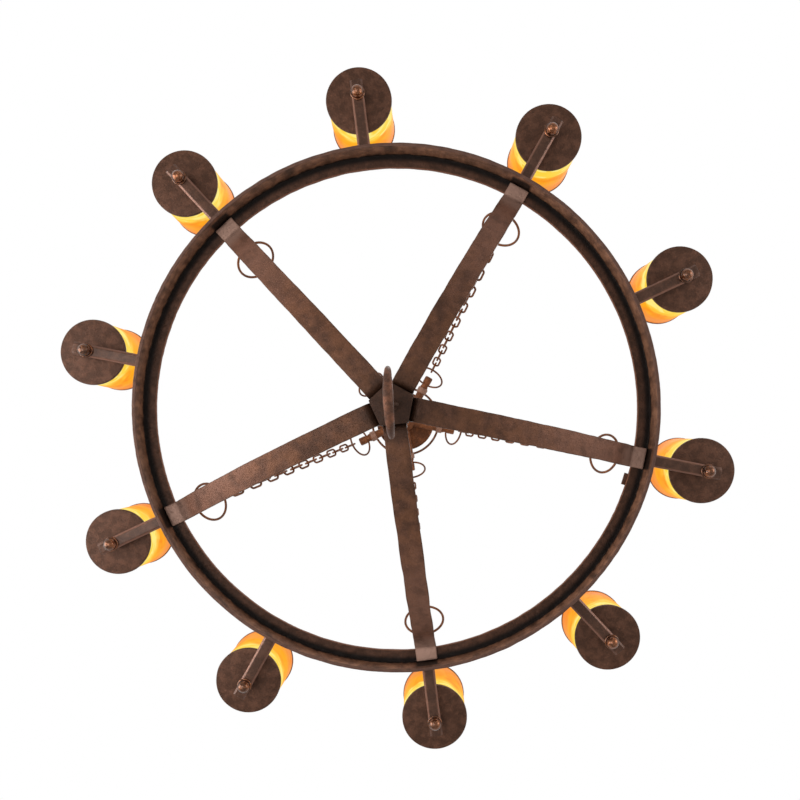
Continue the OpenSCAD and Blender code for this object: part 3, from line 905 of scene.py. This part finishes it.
def link_grid(size):
    """An oval link about its middle, along X in the XY plane: two half circles joined by
    straights, carried round with a round wire of 12 sides."""
    wire = size.link_wire
    bend = (size.link_in_w + wire) / 2
    half = size.link_in_l / 2 + wire / 2 - bend
    a = np.linspace(-math.pi / 2, math.pi / 2, 14)
    ways = np.stack([np.cos(a), np.sin(a), 0 * a], -1)
    ends = ways * bend + (half, 0, 0)
    x = np.linspace(half, -half, 6)[1:-1]
    side = np.stack([x, 0 * x + bend, 0 * x], -1)
    out = np.tile((0, 1, 0), (len(x), 1))
    path = np.vstack([ends, side, -ends, -side])
    across = np.vstack([ways, out, -ways, -out])
    return swept(path, across, (0, 0, 1), wire / 2 * on_circle(full_turn(12)))


class CHANDELIER_OT_chains(bpy.types.Operator):
    """The chains: oval links along each chain's line, every second one turned a quarter, with
    one wire ring in the peg's hole and another two links before the tab"""

    bl_idname = "chandelier.chains"
    bl_label = "Chains"

    def execute(self, context):
        size = context.scene.chandelier_forging
        start, way = chain_line()
        across = np.array([0.0, 1, 0])
        normal = np.cross(way, across)
        wire, ring_r = size.link_wire, size.ring_d / 2
        pitch = size.link_in_l - size.gap
        to_link = ring_r - wire - size.gap + size.link_in_l / 2 + wire / 2
        first = PEG_HOLE_R - wire / 2 - RING_PLAY + ring_r
        last = first + 2 * to_link + (size.links - 1) * pitch
        along = [first + to_link + n * pitch for n in range(size.links)]
        edge_on = along[::2] + [last + to_link]
        face_on = along[1::2] + [last + to_link + pitch]
        flat = np.stack([way, across, normal])
        upright = np.stack([way, normal, -across])
        links = [(s, upright) for s in edge_on] + [(s, flat) for s in face_on]
        link, hoop = link_grid(size), hooped(ring_r, wire)
        for number, angle in around(SPOKES):
            grids = [turned(start + way * s + link @ axes, angle) for s, axes in links]
            chain = [surface(grid, wrap_rows=True) for grid in grids]
            piece(f"links_{number}", chain, "lit_iron", "frame", [f"chain_{number}"], 60)
        grids = [turned(start + way * s + hoop @ flat, angle)
                 for _, angle in around(SPOKES) for s in (first, last)]
        rings = [surface(grid, wrap_rows=True) for grid in grids]
        piece("wire_rings", rings, "lit_iron", "frame", ["chain_rings"], 60)
        return {"FINISHED"}


class CHANDELIER_OT_carried(bpy.types.Operator):
    """The frame's own pieces whose shape stays: each gets its finish"""

    bl_idname = "chandelier.carried"
    bl_label = "Carried pieces"

    def execute(self, context):
        # The hub's eye takes the hub's finish, with its painted shade.
        finishes = {
            "hub_eye": "hub_iron", "spoke_rivets": "strap_iron", "chain_tabs": "rust_iron",
            "spacers": "rust_iron", "lamp_stems": "thread_steel", "sockets": "socket_plastic",
            "top_plate": "lit_iron", "top_boss": "lit_iron", "pegs": "peg_iron",
            "hoop": "lit_iron", "hang_eye": "lit_iron", "hang_nut": "plain_steel",
            "wire_clip": "rust_iron"}
        for node, finish_name in finishes.items():
            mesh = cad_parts[node].data
            mesh.materials.clear()
            mesh.materials.append(finish(finish_name))
        return {"FINISHED"}


# ---------------------------------------------------------------- stage


def area_lamp(name, place, size, power):
    """A soft square lamp that faces the wheel's middle at the pans' height."""
    data = bpy.data.lights.new(name, "AREA")
    data.size, data.energy = size, power
    lamp = bpy.data.objects.new(name, data)
    lamp.location = place
    lamp.rotation_mode = "QUATERNION"
    facing = Vector((0, 0, PAN_LOW)) - Vector(place)
    lamp.rotation_quaternion = facing.to_track_quat("-Z", "Y")
    bpy.context.scene.collection.objects.link(lamp)


def photo_axes(stage):
    """Rows: the camera's right, down and forward directions in the frame. In the photo's own
    axes, X is right, Y is down and Z is away; the camera leans by two small angles from
    them, and they are turned back by lamp 1's angle."""
    a, b = stage.lean_right, stage.lean_down
    about_y = np.array([[math.cos(a), 0, math.sin(a)], [0, 1, 0], [-math.sin(a), 0, math.cos(a)]])
    about_x = np.array([[1, 0, 0], [0, math.cos(b), -math.sin(b)], [0, math.sin(b), math.cos(b)]])
    return turned(about_x @ about_y, -stage.turn)


def photo_camera(scene, stage):
    """The camera at the photo's place, with its lens and shifts."""
    right, down, forward = photo_axes(stage)
    place = turned(np.array([stage.camera_x, stage.camera_y, 0.0]), -stage.turn)
    place[2] = PAN_LOW - stage.camera_down
    axes = Matrix(np.stack([right, -down, -forward], -1))
    camera = bpy.data.cameras.new("photo_camera")
    camera.sensor_width = 36
    camera.lens = stage.lens
    camera.shift_x, camera.shift_y = stage.shift_x, stage.shift_y
    camera.clip_start, camera.clip_end = 0.05, 50
    eye = bpy.data.objects.new("photo_camera", camera)
    eye.matrix_world = Matrix.Translation(place) @ axes.to_4x4()
    scene.collection.objects.link(eye)
    scene.camera = eye


def pale_floor(scene, stage):
    """A square floor that is paler to the camera and in reflections than in its light."""
    half = 7.0
    corners = [(-half, -half), (half, -half), (half, half), (-half, half)]
    floor = bpy.data.meshes.new("floor")
    floor.from_pydata([(x, y, stage.floor_z) for x, y in corners], [], [(0, 1, 2, 3)])
    pale = Shader("pale_floor")
    rays = pale.node("ShaderNodeLightPath").outputs
    seen = Value(pale, rays["Is Camera Ray"]) + Value(pale, rays["Is Glossy Ray"])
    seen = (seen + Value(pale, rays["Is Transmission Ray"])).clamped()
    tone = pale.blend(seen, (0.40, 0.40, 0.40), (0.78, 0.78, 0.78))
    pale.set(Base_Color=tone, Roughness=0.9, Specular_IOR_Level=0.0)
    floor.materials.append(pale.material)
    ground = bpy.data.objects.new("floor", floor)
    scene.collection.objects.link(ground)


def white_world(scene, stage):
    """Surroundings that are white to the camera and in reflections, and give the even light."""
    world = bpy.data.worlds.new("studio")
    world.use_nodes = True
    scene.world = world
    nodes, links = world.node_tree.nodes, world.node_tree.links
    background = nodes["Background"]
    background.inputs["Color"].default_value = (1, 1, 1, 1)
    path = nodes.new("ShaderNodeLightPath")
    seen = path.outputs["Is Camera Ray"]
    for ray in ("Is Glossy Ray", "Is Transmission Ray"):
        either = nodes.new("ShaderNodeMath")
        links.new(seen, either.inputs[0])
        links.new(path.outputs[ray], either.inputs[1])
        seen = either.outputs[0]
    strength = nodes.new("ShaderNodeMapRange")
    links.new(seen, strength.inputs["Value"])
    strength.inputs["To Min"].default_value = stage.fill
    strength.inputs["To Max"].default_value = 1.0
    links.new(strength.outputs[0], background.inputs["Strength"])


class CHANDELIER_OT_stage(bpy.types.Operator):
    """The camera, lamps, pale floor and white surroundings"""

    bl_idname = "chandelier.stage"
    bl_label = "Stage"

    # Name, place to the photo's right and below, height below the pans, size and power.
    LOW_LAMPS = (
        ("left_lamp", -2.2, 0.1, 0.8, 1.6, 44),
        ("low_lamp", -0.77, 0.035, 1.8, 1.3, 14),
        ("right_lamp", 2.3, -0.5, 1.0, 1.5, 22),
    )

    def execute(self, context):
        scene = context.scene
        stage = scene.chandelier_stage
        scene.view_settings.view_transform = "Standard"
        photo_camera(scene, stage)
        for name, x, y, below, size, power in self.LOW_LAMPS:
            place = turned(np.array([x, y, PAN_LOW - below]), -stage.turn)
            area_lamp(name, place, size, power)
        area_lamp("top_lamp", (0.4, -1.2, 1.6), 2.0, 20)
        pale_floor(scene, stage)
        white_world(scene, stage)
        return {"FINISHED"}


# ---------------------------------------------------------------- add-on


STEPS = (
    CHANDELIER_OT_stage, CHANDELIER_OT_rim, CHANDELIER_OT_spokes, CHANDELIER_OT_hub,
    CHANDELIER_OT_drop_ring, CHANDELIER_OT_arms, CHANDELIER_OT_pans, CHANDELIER_OT_shades,
    CHANDELIER_OT_bulbs, CHANDELIER_OT_nuts, CHANDELIER_OT_chains, CHANDELIER_OT_carried)


class CHANDELIER_PT_panel(bpy.types.Panel):
    """Lists the steps that dress the frame"""

    bl_label = "Wagon Wheel Chandelier"
    bl_idname = "CHANDELIER_PT_panel"
    bl_space_type = "VIEW_3D"
    bl_region_type = "UI"
    bl_category = "Chandelier"

    def draw(self, context):
        for step in STEPS:
            self.layout.operator(step.bl_idname)


GROUPS = {
    "chandelier_iron": ChandelierIron,
    "chandelier_forging": ChandelierForging,
    "chandelier_lamps": ChandelierLamps,
    "chandelier_stage": ChandelierStage,
}


def register():
    """Registers the property groups, the steps and the panel."""
    for name, group in GROUPS.items():
        bpy.utils.register_class(group)
        setattr(bpy.types.Scene, name, bpy.props.PointerProperty(type=group))
    for step in (*STEPS, CHANDELIER_PT_panel):
        bpy.utils.register_class(step)


def unregister():
    """Takes away what register added."""
    for step in (CHANDELIER_PT_panel, *STEPS):
        bpy.utils.unregister_class(step)
    for name, group in GROUPS.items():
        delattr(bpy.types.Scene, name)
        bpy.utils.unregister_class(group)


def main():
    """Dresses the frame step by step."""
    register()
    for step in STEPS:
        category, operator = step.bl_idname.split(".")
        getattr(getattr(bpy.ops, category), operator)()


if __name__ == "__main__":
    main()
